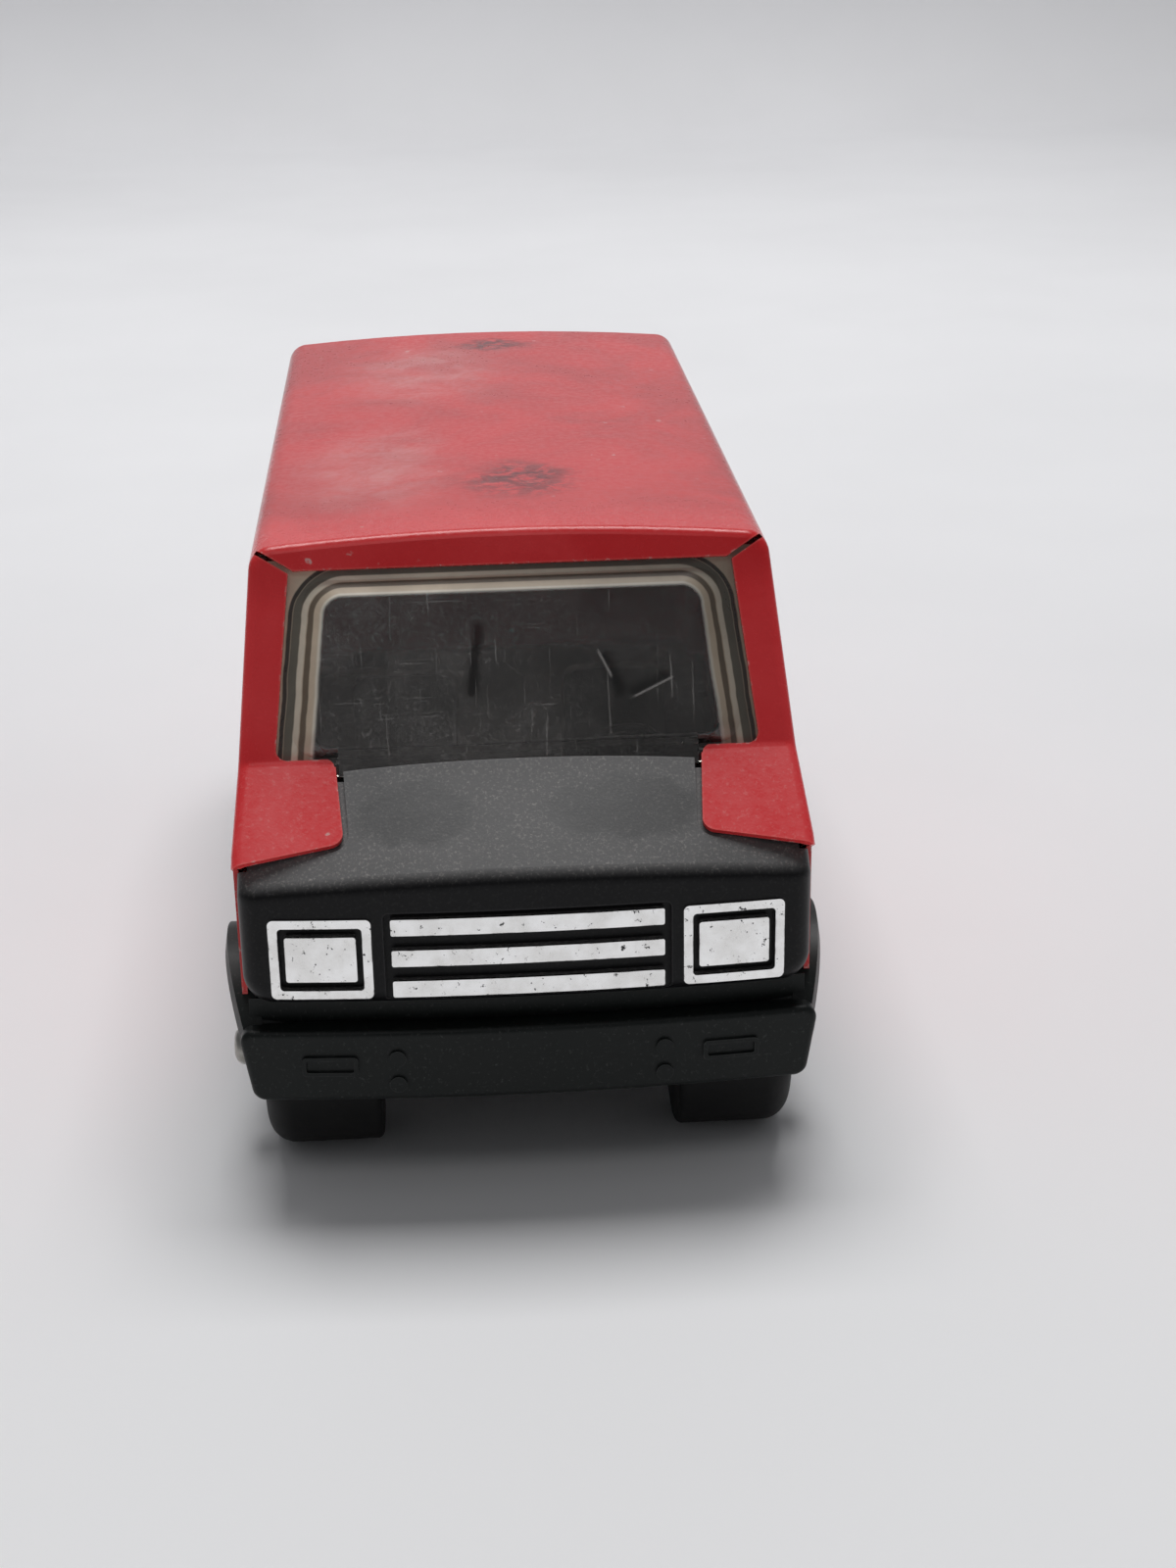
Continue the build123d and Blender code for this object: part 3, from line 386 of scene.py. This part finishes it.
def clear_plastic():
    """Aged clear moulding: dusty pane with scuffs and scratches, warm frosted border with painted highlight
    and shade lines.
    """
    g = Graph("clear_plastic")
    x, y, z = g.axes()
    slope = (SCREEN_HEAD - SCREEN_FOOT).normalized()
    v = g.add(g.mul(g.sub(y, SCREEN_FOOT.y), slope.y), g.mul(g.sub(z, SCREEN_FOOT.z), slope.z))
    wobble = g.mul(g.sub(g.noise(200, 2), 0.5), 0.5 * MM)
    cloud = g.noise(60, 5, 0.65, 1.0)
    out = past_pane(g, x, v, wobble)
    border = g.mul(g.ramp(out, -0.3 * MM, 0.3 * MM), g.fall(y, *metres(SCREEN_BACK_Y)))
    film = g.lerp(border, pane_film(g, x, v, wobble, cloud), g.ramp(cloud, 0.3, 0.7, (0.7, 0.88)))
    tint = g.mix(border, srgb(194, 190, 188), border_colour(g, x, out))
    clear = g.shader(Base_Color=srgb(240, 238, 232), Roughness=g.ramp(cloud, 0.3, 0.8, (0.03, 0.12)),
                     Transmission_Weight=1.0, IOR=1.49, Normal=g.bump(g.noise(140, 2), 0.1 * MM, 0.2))
    # The border's painted highlight and shade lines reach the surface through this shader, with the pane's
    # dust.
    dirt_and_painted_lines = g.shader(Base_Color=tint, Roughness=0.5, Specular_IOR_Level=g.lerp(border, 0.2, 0.6))
    return g.finish(g.node("MixShader", {0: film, 1: clear, 2: dirt_and_painted_lines}).outputs[0])


def silver_foil():
    """Hot-stamped silver foil: bright, rubbed through to black in specks and at its rim."""
    g = Graph("silver_foil")
    speck = g.noise(950, 4, 0.75)
    blot = g.noise(260, 4, 0.6)
    edge = g.edges(0.25 * MM, 0.02, 0.3)
    bare = g.most(g.ramp(speck, 0.62, 0.67), g.mul(edge, g.ramp(blot, 0.5, 0.62)))
    colour = g.mix(g.ramp(blot, 0.3, 0.7), srgb(255, 255, 255), srgb(240, 239, 237))
    colour = g.mix(bare, colour, srgb(34, 33, 33))
    rough = g.add(g.ramp(blot, 0.3, 0.7, (0.16, 0.28)), g.mul(bare, 0.2))
    normal = g.bump(g.noise(700, 3), 0.05 * MM, 0.5)
    return g.finish(g.shader(Base_Color=colour, Metallic=g.sub(1.0, bare), Roughness=rough, Normal=normal))


def metal(name, light, dark, rough, stretch):
    """Drawn or plated metal with fine lines and dull patches."""
    g = Graph(name)
    lines = g.noise(1.0, 3, 0.6, at=g.stretch(stretch))
    blot = g.noise(180, 4, 0.6)
    colour = g.mix(g.ramp(blot, 0.35, 0.7), light, dark)
    level = g.add(g.ramp(blot, 0.3, 0.75, (rough, rough + 0.15)), g.ramp(lines, 0.3, 0.7, (-0.05, 0.05)))
    normal = g.bump(lines, 0.03 * MM, 0.3)
    return g.finish(g.shader(Base_Color=colour, Metallic=1.0, Roughness=level, Normal=normal))


def black_moulding(name, base, dusty, share):
    """Black rubber or plastic with faint dust and a fine moulded grain."""
    g = Graph(name)
    cloud = g.noise(80, 4, 0.6, 0.5)
    speck = g.ramp(g.noise(1400, 3, 0.75), 0.5, 0.78)
    dust = g.mul(g.ramp(cloud, 0.35, 0.75, (0.2, 1.0)), g.lerp(speck, 0.4, 1.0))
    colour = g.mix(g.mul(dust, share), base, dusty)
    level = g.ramp(cloud, 0.25, 0.8, (0.5, 0.66))
    normal = g.bump(g.noise(2400, 2), 0.05 * MM, 0.3)
    return g.finish(g.shader(Base_Color=colour, Roughness=level, Normal=normal, Specular_IOR_Level=0.25))


def sweep_paper():
    """Matt white paper with a faint mottle, painted brighter towards the front as a pool of light."""
    g = Graph("sweep_paper")
    cloud = g.noise(3.0, 4, 0.6)
    speck = g.ramp(g.noise(900, 3, 0.7), 0.74, 0.8)
    # Painted light: the paper is drawn brighter near the camera, as if more light fell there.
    painted_front_light = g.fall(g.axes()[1], *PAPER_LIGHT_Y)
    colour = g.mix(g.ramp(cloud, 0.3, 0.7), srgb(232, 232, 234), srgb(226, 226, 228))
    colour = g.mix(painted_front_light, colour, srgb(249, 249, 250))
    colour = g.mix(g.mul(speck, 0.05), colour, srgb(150, 150, 150))
    normal = g.bump(g.noise(1200, 2), 0.1 * MM, 0.1)
    return g.finish(g.shader(Base_Color=colour, Roughness=0.75, Normal=normal, Specular_IOR_Level=0.3))


MATERIALS = {
    "red_paint": red_paint(),
    "nose_plastic": nose_plastic(),
    "chassis_plastic": chassis_plastic(),
    "clear_plastic": clear_plastic(),
    "silver_foil": silver_foil(),
    "rivet_steel": metal("rivet_steel", srgb(200, 198, 192), srgb(150, 146, 138), 0.3, (300, 300, 300)),
    "axle_steel": metal("axle_steel", srgb(198, 197, 194), srgb(150, 148, 142), 0.28, (60, 2400, 2400)),
    "hub_silver": metal("hub_silver", srgb(222, 221, 219), srgb(186, 184, 180), 0.16, (400, 400, 400)),
    "tyre": black_moulding("tyre", srgb(12, 12, 13), srgb(110, 107, 104), 0.09),
    "interior_plastic": black_moulding("interior_plastic", srgb(17, 17, 19), srgb(110, 106, 100), 0.08),
}

slots = {part["node"]: part["material_slot"] for part in frame["record"]["subparts"]}
for name, node in frame["nodes"].items():
    node.data.materials.clear()
    node.data.materials.append(MATERIALS[slots[name]])


def place(name, data):
    """A new object in the scene that holds the data."""
    made = bpy.data.objects.new(name, data)
    bpy.context.collection.objects.link(made)
    return made


def sweep():
    """Floor that bends up into a backdrop, as one sheet."""
    profile = [(SWEEP_NEAR, 0.0), (SWEEP_FAR, 0.0)]
    for k in range(1, BEND_STEPS + 1):
        a = math.pi / 2 * k / BEND_STEPS
        profile.append((SWEEP_FAR + SWEEP_BEND * math.sin(a), SWEEP_BEND * (1 - math.cos(a))))
    profile.append((SWEEP_FAR + SWEEP_BEND, SWEEP_TOP))
    mesh = bmesh.new()
    rows = [[mesh.verts.new((x, y, z)) for x in (-SWEEP_HALF, SWEEP_HALF)] for y, z in profile]
    for a, b in zip(rows, rows[1:]):
        mesh.faces.new((a[0], a[1], b[1], b[0])).smooth = True
    data = bpy.data.meshes.new("sweep")
    mesh.to_mesh(data)
    mesh.free()
    data.materials.append(sweep_paper())
    return place("sweep", data)


sweep()


def softbox(name, at, aim, size, power):
    """Rectangular softbox at a place, aimed at a point."""
    light = bpy.data.lights.new(name, "AREA")
    light.shape = "RECTANGLE"
    light.size, light.size_y = size
    light.energy = power
    box = place(name, light)
    box.location = at
    box.rotation_euler = (Vector(aim) - Vector(at)).to_track_quat("-Z", "Y").to_euler()


for name, settings in SOFTBOXES.items():
    softbox(name, *settings)

world = bpy.data.worlds.new("studio")
bpy.context.scene.world = world
world.use_nodes = True
background = world.node_tree.nodes["Background"]
background.inputs["Color"].default_value = WORLD_TINT
background.inputs["Strength"].default_value = WORLD_LEVEL
bpy.context.scene.view_settings.view_transform = "Standard"


def add_camera():
    """Camera in front of the van, looking down on it."""
    sy, cy = math.sin(CAMERA_YAW), math.cos(CAMERA_YAW)
    sp, cp = math.sin(CAMERA_PITCH), math.cos(CAMERA_PITCH)
    forward = Vector((sy * cp, cy * cp, -sp))
    right = Vector((cy, -sy, 0))
    up = right.cross(forward)
    c, s = math.cos(CAMERA_ROLL), math.sin(CAMERA_ROLL)
    across, above = c * right + s * up, -s * right + c * up
    data = bpy.data.cameras.new("camera")
    data.lens = CAMERA_LENS
    data.clip_start = 0.01
    camera = place("camera", data)
    turn = Matrix((across, above, -forward)).transposed().to_4x4()
    camera.matrix_world = Matrix.Translation(CAMERA_AT) @ turn
    bpy.context.scene.camera = camera


add_camera()
